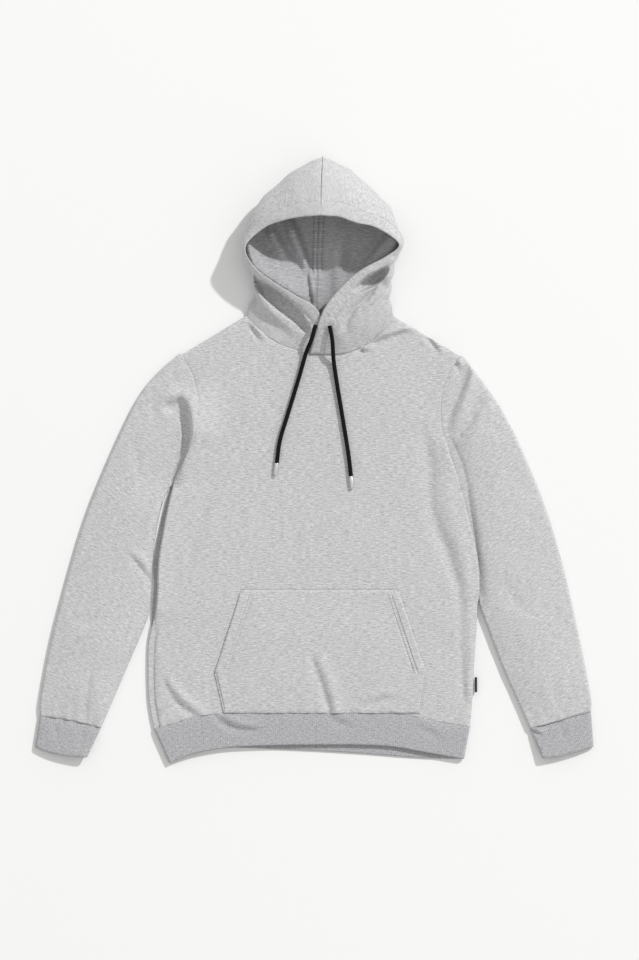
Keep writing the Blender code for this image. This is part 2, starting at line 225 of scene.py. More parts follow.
# %% Helpers for lines
def smooth(points, before=None, steps=12):
    """A line through the points as a dense array; before is a place that sets its direction at the start."""
    knots = np.array(points, float)
    before = 2 * knots[0] - knots[1] if before is None else before
    ends = np.vstack([before, knots, 2 * knots[-1] - knots[-2]])
    t = np.linspace(0, 1, steps, endpoint=False)[:, None]
    runs = [
        0.5 * (2 * b + (c - a) * t + (2 * a - 5 * b + 4 * c - d) * t**2 + (3 * b - a - 3 * c + d) * t**3)
        for a, b, c, d in zip(ends, ends[1:], ends[2:], ends[3:])
    ]
    return np.vstack([*runs, knots[-1:]])


def length_of(line):
    """Length of a dense line."""
    return float(np.linalg.norm(np.diff(line, axis=0), axis=1).sum())


def by_share(line):
    """A function that gives the place on the line at each share of its length."""
    run = np.concatenate([[0], np.cumsum(np.linalg.norm(np.diff(line, axis=0), axis=1))])
    return lambda share: np.stack([np.interp(share, run / run[-1], axis) for axis in line.T], -1)


def patch(bottom, top, left, right):
    """The plan inside four lines, as a function of u (left to right) and v (bottom to top)."""
    low, high, start, end = by_share(bottom), by_share(top), by_share(left), by_share(right)

    def place(u, v):
        a, b = u[:, None], v[:, None]
        across = (1 - b) * low(u) + b * high(u)
        along = (1 - a) * start(v) + a * end(v)
        twice = (1 - a) * (1 - b) * low(0) + a * (1 - b) * low(1) + (1 - a) * b * high(0) + a * b * high(1)
        return across + along - twice

    return place


def beside(line, gap):
    """The line moved sideways by the gap, to the right of its own direction."""
    along = np.gradient(line, axis=0)
    along /= np.linalg.norm(along, axis=1)[:, None]
    return line + gap * np.column_stack([along[:, 1], -along[:, 0]])


def distance(plan, lines, samples=160):
    """How far each place in plan is from the nearest of the lines."""
    near = np.full(len(plan), np.inf)
    for line in lines:
        for place in by_share(line)(np.linspace(0, 1, samples)):
            near = np.minimum(near, (plan[:, 0] - place[0]) ** 2 + (plan[:, 1] - place[1]) ** 2)
    return np.sqrt(near)


def rounded(share):
    """A quarter circle: 0 at an edge, 1 from where the share of the roll reaches 1."""
    return np.sqrt(1 - (1 - np.clip(share, 0, 1)) ** 2)


def ease(value, start, end):
    """0 before start, 1 after end, and a soft step between them."""
    t = np.clip((value - start) / (end - start), 0, 1)
    return t * t * (3 - 2 * t)


def bell(value, width):
    """1 where the value is 0, and a soft fall on both sides of it."""
    return np.exp(-((value / width) ** 2))


# %% [markdown]
# ## Creases
#
# Cloth that has been laid out by hand keeps a few soft folds where it was pulled or tucked. Each one here
# is a line through a few places, and each place has the fold's own half width and depth there, so that no
# two look the same and each fades out where its depth runs to nothing. A bank stands beside the trough on
# one side, because cloth that sinks in one place is pushed up next to it: a positive bank is to the right
# of the line's direction. A higher power gives a hollow a flat bottom and steep sides, and lean makes the
# left side of a line that much wider. On top of them the whole cloth has a slow unevenness of about a
# millimetre.

# %% Crease helpers
Crease = namedtuple("Crease", "bank places power lean", defaults=(2, 1))  # a place is x, y, width and depth


def creased(plan, creases):
    """Change of height over each place in plan: negative in a trough, positive on a ridge."""
    height = np.zeros(len(plan))
    for bank, places, power, lean in creases:
        line = smooth([place[:2] for place in places], steps=10)
        knots = np.linspace(0, len(places) - 1, len(line))
        widths, depths = (np.interp(knots, range(len(places)), [p[i] for p in places]) for i in (2, 3))
        reach = 4.5 * widths.max() * max(lean, 1)
        low, high = line.min(0) - reach, line.max(0) + reach
        near = np.flatnonzero(np.all((plan > low) & (plan < high), axis=1))
        if not len(near):
            continue
        off = plan[near][:, None, :] - line[None]
        gap = np.hypot(off[..., 0], off[..., 1])
        at = gap.argmin(1)
        pick = np.arange(len(near))
        along = np.gradient(line, axis=0)[at]
        side = np.sign(along[:, 1] * off[pick, at, 0] - along[:, 0] * off[pick, at, 1])
        gap, width, depth = gap[pick, at], widths[at], depths[at]
        toward = side * gap * np.sign(bank or 1)
        narrow = np.where((toward > 0) & (bank != 0), 0.65, 1.0) * np.where(side < 0, lean, 1.0)
        trough = np.exp(-((gap / (width * narrow)) ** power))
        ridge = bell(toward - 2.0 * width, 1.2 * width)
        height[near] += depth * (abs(bank) * ridge - trough)
    return height


def uneven(plan, size, height, seed):
    """Slow unevenness: hollows and swells about size across and height deep."""
    places = np.column_stack([plan / size, np.full(len(plan), seed)])
    return height * np.array([noise.noise(Vector(place)) for place in places])


def gathered(plan, near, reach, squeeze, size, height, seed):
    """Puckers across a seam, which fade with the distance near from it; squeeze draws them out lengthwise."""
    return np.exp(-(near / reach)) * uneven(plan * (1, squeeze), size, height, seed)


# %% [markdown]
# ## From form to cloth
#
# A piece is a plain grid. Each of its points is moved to its place on the form, and keeps its own distance
# along the knit in a UV map in metres, so that rows of stitches follow the piece however it bends. Then
# Solidify gives the cloth its wall, with the brushed inside as a second material.


# %% Piece helpers
def new_cloth(name, place, columns, rows, materials, node, wall, closed=False):
    """A cloth piece that replaces a node; place(u, v) gives points in mm and distances along the knit."""
    bm = bmesh.new()
    bmesh.ops.create_grid(bm, x_segments=columns, y_segments=rows, size=0.5)
    grid = np.array([vertex.co[:2] for vertex in bm.verts]) + 0.5
    points, knit = place(grid[:, 0], grid[:, 1])
    layer = bm.loops.layers.uv.new("Knit")
    knit = knit * MM
    for face in bm.faces:
        for loop in face.loops:
            loop[layer].uv = knit[loop.vert.index]
    shift = np.array((0, -CENTRE_Y, 0))
    for vertex, point in zip(bm.verts, (points + shift) * MM):
        vertex.co = point
    if closed:
        bmesh.ops.remove_doubles(bm, verts=bm.verts, dist=0.01 * MM)
    return new_shell(name, bm, materials, node, wall)


def new_shell(name, bm, materials, node, wall):
    """Turns an open surface into a piece with a wall, which stands for the node and lies with the rest."""
    piece = put_in(name, finished(name, bm), *materials)
    thickness = piece.modifiers.new("Wall", "SOLIDIFY")
    thickness.thickness = wall * MM
    thickness.offset = -1
    thickness.material_offset = len(materials) - 1
    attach(piece, "root")
    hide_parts(node)
    print(f"{name}: {len(piece.data.polygons)} faces")
    return piece


def close_at(share, *bands):
    """Shares with more places near the ends; a band is (share of the places, share of the width)."""
    first, last = bands
    return np.interp(share, (0, first[0], 1 - last[0], 1), (0, first[1], 1 - last[1], 1))


# %% [markdown]
# ## Heather fleece
#
# The body is loopback fleece: a smooth jersey face knitted from a yarn that mixes pale and dark fibres, so
# it shows short flecks along its rows, and a brushed inside. The inside's colours are painted darker than
# the face's, as painted shade that keeps the inside of the hood dark. The flecks are stretched noise on the
# knit's own distances, in three sizes: one long and thin, one short, and a speckle of single stitches. A
# real stitch is about 1 mm, and the speckle is drawn larger, at nearly 2 mm, to show at this distance. A
# fine bump gives the nap, and sheen its pale edge.


# %% Fleece materials
def mottle(tree, knit, size, detail=2.0):
    """Noise whose spots are size = (length, height) in mm along the knit."""
    rows = add(tree, "ShaderNodeMapping", {"Vector": knit, "Scale": (1000 / size[0], 1000 / size[1], 1)})
    links = {"Vector": rows.outputs["Vector"], "Scale": 1.0, "Detail": detail, "Roughness": 0.6}
    return add(tree, "ShaderNodeTexNoise", links).outputs["Fac"]


def weighted(tree, parts):
    """The sum of value sockets, each times its weight."""
    total = 0.0
    for value, weight in parts:
        links = {0: value, 1: weight, 2: total}
        total = add(tree, "ShaderNodeMath", links, operation="MULTIPLY_ADD").outputs[0]
    return total


def shades(tree, value, dark, base, pale, spread):
    """Three shades over a value about 0.5; spread is how far from it the ends are."""
    ramp = add(tree, "ShaderNodeValToRGB", {"Fac": value})
    stops = ramp.color_ramp.elements
    stops[0].position, stops[0].color = 0.5 - spread, linear(dark)
    stops[1].position, stops[1].color = 0.5 + spread, linear(pale)
    middle = stops.new(0.5)
    middle.color = linear(base)
    return ramp.outputs["Color"]


def heather(name, dark, base, pale, sizes, nap=0.35):
    """Knitted cloth of mixed yarn, with flecks of three sizes: (length, height) in mm."""
    looks = {"Roughness": 0.92, "Specular IOR Level": 0.25, "Sheen Weight": 0.12, "Sheen Roughness": 0.5}
    material, tree, shader = new_material(name, looks)
    knit = add(tree, "ShaderNodeUVMap", uv_map="Knit").outputs["UV"]
    long, short, single = (mottle(tree, knit, size) for size in sizes)
    mixed = weighted(tree, ((long, 0.3), (short, 0.4), (single, 0.3)))
    tree.links.new(shades(tree, mixed, dark, base, pale, 0.13), shader.inputs["Base Color"])
    fuzz = mottle(tree, knit, (1.9, 1.3), 3.0)
    add_bump(tree, shader, weighted(tree, ((fuzz, 0.5), (short, 0.5))), nap, 0.0006)
    return material


FACE_FLECKS = ((15, 1.3), (7, 1.5), (1.8, 1.5))
BRUSHED_FLECKS = ((18, 2.4), (9, 2.4), (2.2, 2))
fleece = heather("heather_fleece_face", "#9D9D9F", "#C0C0C1", "#DDDDDD", FACE_FLECKS)
# the inside's colours are darker than the face's: painted shade for the hood's hollow inside
brushed_painted_shade = heather("heather_fleece_brushed_inside_painted_shade", "#8E8E90", "#ABABAD", "#C4C4C4", BRUSHED_FLECKS, 0.6)
print("fleece:", fleece.name, "and", brushed_painted_shade.name)

# %% [markdown]
# ## Rib
#
# Cuffs and hem are a fine rib of the same yarn, a shade darker because light sinks into its furrows. The
# ribs are so fine that from here they are only a faint grain, 3 mm apart, under the yarn's own mottling.


# %% Rib material
def ribbed(name, dark, base, pale, pitch=3.0):
    """Ribbed knit with ribs along the length of the piece, pitch mm apart."""
    looks = {"Roughness": 0.9, "Specular IOR Level": 0.25, "Sheen Weight": 0.1}
    material, tree, shader = new_material(name, looks)
    knit = add(tree, "ShaderNodeUVMap", uv_map="Knit").outputs["UV"]
    lined = add(tree, "ShaderNodeMapping", {"Vector": knit, "Scale": (1000 / pitch, 1, 1)}).outputs["Vector"]
    links = {"Vector": lined, "Scale": 1 / 3.14159, "Distortion": 0.0}
    waves = add(tree, "ShaderNodeTexWave", links, bands_direction="X").outputs["Fac"]
    single, short = (mottle(tree, knit, size) for size in ((2.2, 3.0), (7, 1.8)))
    mixed = weighted(tree, ((single, 0.55), (short, 0.4), (waves, 0.05)))
    tree.links.new(shades(tree, mixed, dark, base, pale, 0.15), shader.inputs["Base Color"])
    add_bump(tree, shader, waves, 0.2, 0.0006)
    return material


rib = ribbed("heather_rib", "#8F8F92", "#AAAAAC", "#C2C2C3")

# %% [markdown]
# ## The hood's form
#
# The hood stands open. Each half runs from the neck seam up the back of the head, over the crown and down
# to the brim, and its sections go from the back seam, along the surface it lies on, up the side, over and
# in to the front edge. A row of the table is one section, and the form passes smoothly through all of them.

# %% Hood table and surface
Row = namedtuple("Row", "seam floor side top lap edge")
HOOD_LEFT = (
    Row((2, 217, 0), (-60, 219, 0), (-108, 229, 4), (-80, 200, 9), (-38, 177, 9), (20, 167, 8)),
    Row((3, 246, 0), (-64, 246, 0), (-102, 249, 9), (-86, 234, 14), (-42, 208, 16), (8, 234, 30)),
    Row((4, 278, 0), (-66, 274, 0), (-96, 272, 18), (-90, 264, 30), (-64, 250, 33), (-30, 261, 41)),
    Row((5, 310, 0), (-70, 300, 0), (-96, 294, 22), (-95, 288, 36), (-82, 280, 44), (-62, 280, 49)),
    Row((6, 345, 0), (-76, 330, 0), (-106, 320, 24), (-109, 315, 40), (-105, 309, 50), (-95, 306, 54)),
    Row((7, 385, 0), (-78, 362, 0), (-112, 348, 26), (-116, 343, 44), (-114, 340, 56), (-109, 337, 61)),
    Row((8, 420, 0), (-68, 398, 2), (-102, 387, 27), (-101, 379, 50), (-92, 371, 65), (-80, 366, 71)),
    Row((9, 448, 0), (-48, 432, 5), (-79, 421, 30), (-77, 405, 60), (-64, 388, 77), (-48, 378, 83)),
    Row((11, 472, 4), (-18, 464, 14), (-42, 453, 37), (-40, 431, 69), (-31, 405, 86), (-20, 383, 92)),
    Row((13, 480, 12), (-6, 475, 29), (-14, 459, 60), (-15, 433, 80), (-11, 406, 91), (-5, 384, 96)),
    Row((14, 482, 22), (13, 475, 48), (12, 456, 72), (11, 433, 86), (10.5, 408, 94), (10, 385, 98)),
)
HOOD_RIGHT = (
    Row((2, 217, 0), (66, 219, 0), (127, 229, 4), (100, 194, 9), (48, 168, 10), (-8, 168, 13)),
    Row((3, 246, 0), (70, 246, 0), (122, 250, 12), (106, 228, 22), (58, 208, 29), (14, 236, 38)),
    Row((4, 278, 0), (86, 272, 0), (122, 275, 18), (115, 263, 31), (86, 250, 38), (46, 277, 46)),
    Row((5, 310, 0), (92, 302, 0), (126, 302, 22), (122, 293, 37), (104, 285, 46), (78, 303, 52)),
    Row((6, 345, 0), (96, 335, 0), (132, 328, 24), (132, 322, 40), (126, 317, 50), (112, 321, 55)),
    Row((8, 385, 0), (98, 370, 0), (138, 353, 26), (141, 348, 44), (139, 344, 56), (134.5, 341, 61)),
    Row((9, 420, 0), (88, 408, 2), (120, 402, 27), (121, 389, 50), (111, 373, 68), (100, 366, 75)),
    Row((10, 448, 0), (66, 440, 5), (92, 432, 30), (91, 413, 60), (79, 391, 79), (66, 374, 87)),
    Row((12, 472, 4), (40, 465, 14), (58, 461, 37), (55, 437, 69), (48, 408, 86), (40, 383, 92)),
    Row((13, 480, 12), (32, 475, 29), (36, 461, 60), (35, 434, 80), (31, 407, 91), (25, 384, 96)),
    Row((14, 482, 22), (13, 475, 48), (12, 456, 72), (11, 433, 86), (10.5, 408, 94), (10, 385, 98)),
)


def hood_section(row):
    """One section as a dense line, level where it leaves the back seam, as the other half's is."""
    x, y, z = row.floor
    return smooth(row, before=(2 * row.seam[0] - x, y, z))


def hood_surface(rows):
    """The outside of half the hood as a function of a (back seam to edge) and b (neck seam to crown seam)."""
    sections = [by_share(hood_section(row)) for row in rows]

    def place(a, b):
        stations = np.stack([section(a) for section in sections])
        position = np.clip(b, 0, 1) * (len(rows) - 1)
        first = np.minimum(position.astype(int), len(rows) - 2)
        t = (position - first)[:, None]
        pick = np.arange(len(a))
        b0, b1 = stations[first, pick], stations[first + 1, pick]
        before = np.where(first[:, None] > 0, stations[np.maximum(first - 1, 0), pick], 2 * b0 - b1)
        last = len(rows) - 1
        across_crown = b0 * (-1, 1, 1) + b1 * (2, 0, 0)
        next_row = stations[np.minimum(first + 2, last), pick]
        after = np.where(first[:, None] + 2 <= last, next_row, across_crown)
        blend = 2 * b0 + (b1 - before) * t + (2 * before - 5 * b0 + 4 * b1 - after) * t**2
        surface = 0.5 * (blend + (3 * b0 - before - 3 * b1 + after) * t**3)
        return np.maximum(surface, (-np.inf, -np.inf, 0))

    return place


def section_lengths(rows):
    """Length of each section, from the back seam to the front edge."""
    return np.array([length_of(hood_section(row)) for row in rows])


def at_rows(values, b):
    """The value at b on the form, from one value for each row."""
    return np.interp(b * (len(values) - 1), range(len(values)), values)


def neck_line(part, gap):
    """The neck seam in plan on the front or the back of the body, left to right."""
    shares = np.linspace(0, 1, 161)
    halves = []
    for rows in (HOOD_LEFT, HOOD_RIGHT):
        line = by_share(hood_section(rows[0]))(shares)
        turn = int(np.argmax(np.abs(line[:, 0] - rows[0].seam[0])))
        halves.append(line[turn:, :2] if part == "front" else line[turn::-1, :2])
    left, right = halves
    lapped = left[left[:, 0] < right[:, 0].min() - 0.4]
    joined = np.vstack([lapped, right[::-1]]) if part == "front" else np.vstack([left, right[::-1]])
    return joined - (0, gap)


# %% [markdown]
# ## The body
#
# Front and back are flat panels, sewn at the shoulders and sides. Laid out, the front is level and rolls
# down to the back along its closed edges. Below the right arm it lies over the sleeve instead, and ends in
# a soft edge of its own. Beside the gap to the left sleeve its edge stands up, and below that it is pressed
# to a flat strip. Next to each seam the cloth dips a little, because the seam pulls it in, and that valley
# is what shows a seam from a distance.

# %% Body sizes
WALL = 2.6  # of the fleece
LAID = 8.6  # height of two layers that lie on each other
LOWEST_TOP = 5.5  # top of the upper layer where it touches the lower one
SEAM_TOP = 5.6  # top of the front where it meets the back
ROLL = 12.0  # how far a closed edge takes to round down
NECK_GAP = -1.2
LAP_OVER = 3.0  # how far the body lies over the right sleeve
DIP = 0.5  # depth of the valley at a seam
NECK_DIP = 1.5  # and at the neck, where the hood lies on the body's edge
TUCK = 1.6  # how far the piece below goes in under the edge of the one above at a seam
STANDING = 5.5  # how far the left edge stands up beside the gap to the sleeve
STRIP = (9, 12.5)  # where the front rises from the pressed strip, from its edge
STRIP_END = (-285, -262)  # heights on the garment that the strip fades out between
OVER_RISE = 2.4  # how far the edge over the right sleeve stands up
EDGE_DROP = 3.0  # and how far it rounds down
EDGE_SAMPLES = 900  # places along an edge, close enough for a smooth height beside it


def top_line(part):
    """Left shoulder seam, neck seam and right shoulder seam as one line."""
    return np.vstack([[ARMHOLE_LEFT[-1]], neck_line(part, NECK_GAP), [ARMHOLE_RIGHT[-1]]])


def over_sleeve(y):
    """1 where the body lies over the right sleeve and 0 elsewhere, from the height on the garment."""
    return ease(y, -236, -215) * (1 - ease(y, 15, 45))


NECK = neck_line("front", NECK_GAP)
SHOULDERS = [np.array([ARMHOLE_LEFT[-1], NECK[0]]), np.array([ARMHOLE_RIGHT[-1], NECK[-1]])]
LEFT_SIDE, RIGHT_SIDE = smooth(SIDE_LEFT), smooth(SIDE_RIGHT)
RIGHT_ARM = np.vstack([RIGHT_SIDE, smooth(ARMHOLE_RIGHT)[1:]])
RIGHT_EDGE = RIGHT_ARM + np.column_stack([LAP_OVER * over_sleeve(RIGHT_ARM[:, 1]), 0 * RIGHT_ARM[:, 1]])
ARMHOLES = [smooth(ARMHOLE_LEFT), smooth(ARMHOLE_RIGHT)]
HEM = smooth(HEM_SEAM)

# %% Folds of the body
# The bank under the left arm runs across the armhole seam, so the front and the sleeve share it.
ARM_BANK = Crease(0, (
    (-212, 108, 8, 0), (-205, 96, 9, -6), (-199, 82, 8, -13), (-195, 62, 7, -19), (-194, 42, 6, -21),
    (-199, 20, 4.5, -16), (-206, 0, 4, -13), (-213, -18, 3.5, -9), (-224, -42, 4, 0),
), 2, 5.0)
FRONT_CREASES = (
    ARM_BANK,
    # left shoulder, beside the neck
    Crease(-1.5, ((-110, 221, 3, 0), (-100, 207, 4, 3), (-91, 194, 4, 2.5), (-82, 183, 4, 0))),
    # right shoulder: a long fold, a pucker at its lower end and a short one near the seam
    Crease(-1.5, (
        (90, 181, 3, 0), (100, 186, 4, 3.6), (114, 191, 4.5, 4.6), (132, 197, 4.5, 4.6), (149, 202, 4, 3.4),
        (163, 206, 3, 0),
    )),
    Crease(-1.6, ((70, 178, 2.5, 0), (77, 172, 3, 3), (86, 171, 3.2, 3), (97, 179, 3, 0))),
    Crease(-1.3, ((176, 199, 3, 0), (184, 190, 3.5, 3), (194, 177, 4, 2.6), (202, 163, 4, 0))),
    # down the right side, from the arm to the hem
    Crease(-0.9, (
        (166, 66, 14, 0), (184, 0, 14, 3.2), (187, -66, 14, 3.4), (199, -115, 13, 4.0), (213, -147, 12, 4.2),
        (224, -182, 10, 3.8), (233, -214, 8, 2.6), (236, -260, 7, 2), (238, -340, 6, 2.2), (239, -372, 6, 3),
        (240, -398, 6, 0),
    )),
    # the pressed line beside the left edge
    Crease(0, (
        (-254, -236, 1.2, 0), (-256, -262, 1.4, 1.6), (-255, -330, 1.4, 2.2), (-252, -380, 1.4, 1.8),
        (-247, -424, 1.4, 1.5),
    )),
    # lower left corner
    Crease(-1.3, (
        (-247, -348, 4, 0), (-236, -368, 5, 2.6), (-220, -391, 6, 3.4), (-203, -405, 6, 3.4),
        (-187, -414, 5, 1.5),
    )),
    # faint folds on the left of the chest and in the middle
    Crease(-0.6, ((-160, -50, 9, 0), (-178, -98, 10, 1.4), (-198, -148, 9, 1.3), (-205, -180, 8, 0))),
    Crease(0.2, ((-120, 60, 16, 0), (-60, 30, 20, 1.0), (20, 20, 18, 0))),
    Crease(0.2, ((60, -90, 18, 0), (0, -130, 20, 1.1), (-80, -150, 16, 0))),
)


def front_height(plan):
    """Height of the front panel's face over each place in plan, with its folds."""
    x, y = plan.T
    left, shoulder = distance(plan, [LEFT_SIDE], EDGE_SAMPLES), distance(plan, SHOULDERS)
    closed = np.minimum(left, shoulder)
    right = distance(plan, [RIGHT_EDGE], EDGE_SAMPLES)
    over = over_sleeve(y) * ease(x, 60, 140)
    side = SEAM_TOP + (LAID - SEAM_TOP) * rounded(right / ROLL)
    lifted = LAID + OVER_RISE * np.exp(-right / 30) - EDGE_DROP * (1 - rounded(right / 3.5))
    under_arm = np.where((y > 15) | (x < 0), LAID + STANDING, side)
    stands = ease(y, -272, -238) * (1 - ease(y, -60, -36))
    flank = LAID + STANDING * stands * np.exp(-left / 30) - SEAM_TOP
    strip = 1 - ease(y, *STRIP_END)
    rise = (1 - strip) * rounded(left / (ROLL - 8 * stands)) + strip * ease(left, *STRIP)
    level = SEAM_TOP + flank * rise * rounded(shoulder / ROLL)
    level = np.minimum(level, under_arm) * (1 - over) + lifted * over
    seams = distance(plan, ARMHOLES + [HEM])
    crown = 1.6 * ease(np.minimum(np.minimum(closed, right), seams), 0, 90)
    neck = distance(plan, [NECK])
    free = over * (right < 12)
    dip = -DIP * bell(seams, 1.8) * (1 - free) - NECK_DIP * bell(neck, 2.6)
    inside = ease(np.minimum(closed, right), 0, 25) * ease(np.minimum(seams, neck), 0, 20)
    waves = inside * (uneven(plan, 95, 1.5, 3.1) + uneven(plan, 36, 0.5, 8.4))
    gathers = 0.8 * gathered(plan, distance(plan, [HEM]), 14, 0.2, 11, 1.4, 2.2)
    lowest = LOWEST_TOP - 2.2 * (1 - rounded(left / 2)) * (y < -275)
    folds = creased(plan, FRONT_CREASES)
    return np.maximum(level - LOWEST_TOP + lowest + crown + dip + waves + gathers + folds, lowest)


# %% Front panel
def front_place(u, v):
    left = np.vstack([LEFT_SIDE, smooth(ARMHOLE_LEFT)[1:]])
    across = close_at(u, (0.11, 0.022), (0.11, 0.022))
    up = close_at(v, (0.06, 0.012), (0.08, 0.02))
    plan = patch(HEM, top_line("front"), left, RIGHT_EDGE)(across, up)
    return np.column_stack([plan, front_height(plan)]), plan


front = new_cloth("front", front_place, 175, 190, (fleece, brushed_painted_shade), "front_panel", WALL)


# %% Back panel
def back_place(u, v):
    """The back's outside lies on the floor, so its columns run the other way for it to face down."""
    left = np.vstack([smooth(BACK_LEFT), smooth(ARMHOLE_LEFT)[1:]])
    plan = patch(HEM, top_line("back"), left, RIGHT_ARM)(1 - u, v)
    return np.column_stack([plan, np.zeros(len(plan))]), plan


back = new_cloth("back", back_place, 60, 80, (fleece, brushed_painted_shade), "back_panel", WALL)

# %% [markdown]
# ## The kangaroo pocket
#
# One piece of fleece sewn on over the front, with two slanting hand openings. It is made from the front's
# own height, moved out by its thickness. It rounds down to the front where it is stitched, and each hand
# opening has a doubled hem that is held by two rows of stitches, which sink into the nap as two furrows.

# %% Pocket outline
Corner = namedtuple("Corner", "height left right")
POCKET = (
    Corner(-408.5, -145, 170),
    Corner(-344, -160, 180),
    Corner(-208, -116, 134),
)
POCKET_CREASES = (
    Crease(-1.0, ((-7, -306, 5, 0), (-1, -328, 6, 2), (9, -354, 7, 3), (19, -386, 7, 3.8), (24, -405, 6, 3))),
    Crease(-0.8, ((72, -402, 6, 0), (95, -392, 7, 2.4), (118, -386, 6, 2), (136, -384, 6, 0))),
    Crease(0.3, ((-100, -260, 12, 0), (-50, -262, 14, 1), (10, -250, 12, 0))),
)
HEM_OF_OPENING = (14.0, 20.0)  # from the edge to each row of stitches
SEWN = 2.3  # from the edge to the stitches that hold the pocket on
FURROW = 1.1  # how wide a row of stitches sinks in, and how deep


def pocket_sides(y):
    """The pocket's left and right edge at each height."""
    heights = [corner.height for corner in POCKET]
    left = np.interp(y, heights, [corner.left for corner in POCKET])
    return left, np.interp(y, heights, [corner.right for corner in POCKET])


def pocket_line(inset=0.0):
    """The pocket's edge in plan, once round from its lower left corner, or a line inside it."""
    left = [(corner.left + inset, corner.height + inset) for corner in POCKET[:1]]
    left += [(POCKET[1].left + inset, POCKET[1].height), (POCKET[2].left + inset, POCKET[2].height - inset)]
    right = [(POCKET[2].right - inset, POCKET[2].height - inset), (POCKET[1].right - inset, POCKET[1].height)]
    right += [(POCKET[0].right - inset, POCKET[0].height + inset)]
    return np.array(left + right + left[:1], float)


POCKET_EDGE = pocket_line()


# %% Pocket
def pocket_height(plan):
    """Height of the pocket's face over each place in plan, on top of the front."""
    edge = distance(plan, [POCKET_EDGE], EDGE_SAMPLES)
    above_hem = ease(plan[:, 1], POCKET[0].height + 3, POCKET[0].height + 8)
    at_top = POCKET[-1].height - plan[:, 1] < 8
    left, right = pocket_sides(plan[:, 1])
    opening = ease(plan[:, 1], -350, -340) * (1 - ease(plan[:, 1], -222, -214))
    across = np.minimum(plan[:, 0] - left, right - plan[:, 0])
    furrows = sum(bell(across - row, FURROW) for row in HEM_OF_OPENING)
    furrows = furrows * opening * np.where(plan[:, 0] > 0, 1.1, 0.25)
    width = np.where(at_top, 1.5, 1.0) * FURROW
    sewn = bell(edge - SEWN, width) * (1 - opening * (across < 4)) * above_hem
    swell = 1.2 * ease(edge, 4, 60) + 0.5 * opening * (1 - ease(across, 12, 15))
    stitched = FURROW * (furrows + np.where(at_top, 2.4, 1.4) * sewn)
    lift = WALL + 0.6 + swell - 2.6 * (1 - rounded(edge / 4.0)) - stitched
    return front_height(plan) + lift + creased(plan, POCKET_CREASES)


def pocket_place(u, v):
    up = close_at(v, (0.1, 0.02), (0.12, 0.025))
    y = POCKET[0].height + (POCKET[-1].height - POCKET[0].height) * up
    left, right = pocket_sides(y)
    plan = np.column_stack([left + (right - left) * close_at(u, (0.2, 0.075), (0.2, 0.075)), y])
    return np.column_stack([plan, pocket_height(plan)]), plan


pocket = new_cloth("pocket", pocket_place, 200, 120, (fleece, brushed_painted_shade), "pocket", WALL - 0.3)

# %% [markdown]
# ## Sleeves, cuffs and hem band
#
# These are tubes laid flat, so a ring round one is two level runs joined by two tight folds. Going once
# round the ring and along the length covers the tube without a seam in the mesh. The sleeves are a little
# fuller than the body, and below the left arm the cloth falls into a deep fold between sleeve and body.


# %% Laid tube
def laid_tube(front, back, height, shape, axis, raised=lambda share, v: 0):
    """A flattened tube: its round (top, then underside) and its length, which lies along the axis in plan.

    shape(share, v, plan) changes its top, and raised(share, v) lifts both layers off the floor.
    """
    along = np.array(axis, float) / np.hypot(*axis)
    over = np.array((along[1], -along[0]))

    def place(u, v):
        on_top = u < 0.5
        half_share = np.where(on_top, u, u - 0.5) * 2
        spaced = close_at(half_share, (0.16, 0.06), (0.16, 0.06))
        ends = [front(np.full_like(v, side), v) for side in (0.0, 1.0)]
        width = np.hypot(*(ends[1] - ends[0]).T)
        radius = height / 2
        turn = np.pi * radius
        half = width - height + turn
        run = spaced * half
        angle_in = np.clip(run, 0, turn / 2) / radius
        angle_out = np.clip(run - (half - turn / 2), 0, turn / 2) / radius
        flat = np.clip(run - turn / 2, 0, width - height)
        across = radius * (1 - np.cos(angle_in)) + flat + radius * np.sin(angle_out)
        above = radius * (np.sin(angle_in) - (1 - np.cos(angle_out)))
        share = np.clip(across / width, 0, 1)
        share = np.where(on_top, share, 1 - share)
        plan = np.where(on_top[:, None], front(share, v), back(share, v))
        top = radius + above
        shaped = top + shape(share, v, plan) * np.clip(above / radius, 0, 1)
        z = np.where(on_top, np.maximum(shaped, np.minimum(top, LOWEST_TOP)), radius - above)
        knit = np.column_stack([np.where(on_top, 1, -1) * (plan @ over), plan @ along])
        return np.column_stack([plan, z + raised(share, v)]), knit

    return place


# %% Folds of the sleeves
LEFT_SLEEVE_CREASES = (
    # the deep fold under the arm, beside its bank
    ARM_BANK,
    Crease(0, (
        (-217, 100, 6, 0), (-214, 88, 9, 7), (-210, 73, 9, 11), (-206, 54, 7, 13), (-204, 38, 6, 15),
        (-207, 17, 5, 16), (-213, -4, 4.5, 14), (-220, -22, 4, 10), (-229, -44, 3, 0),
    ), 3),
    Crease(-0.4, ((-246, 80, 8, 0), (-233, 84, 9, 7), (-221, 84, 10, 9), (-211, 76, 9, 8), (-206, 64, 7, 0))),
    # the edge beside the gap lies low
    Crease(0, (
        (-232, -46, 5, 0), (-244, -84, 7, 3), (-259, -150, 8, 4), (-262, -195, 7, 2), (-264, -222, 5, 0),
    )),
    # a short one lower down, from the gap to the middle
    Crease(-1.0, ((-302, -148, 4, 0), (-289, -164, 5.5, 2.4), (-278, -177, 6, 3), (-264, -195, 5.5, 2.2))),
    Crease(-0.8, ((-228, 152, 4, 0), (-226, 135, 5, 1.5), (-230, 116, 5, 0))),
    Crease(-0.6, ((-250, 96, 6, 0), (-256, 78, 7, 2), (-258, 58, 7, 0))),
    Crease(0.3, ((-300, 40, 9, 0), (-285, 0, 12, 1.5), (-284, -50, 10, 0))),
    Crease(0.3, ((-395, -250, 9, 0), (-360, -262, 11, 1.6), (-318, -250, 9, 0))),
    Crease(-0.5, ((-350, -330, 7, 0), (-362, -360, 8, 2), (-366, -400, 7, 1.5), (-364, -424, 5, 0))),
)
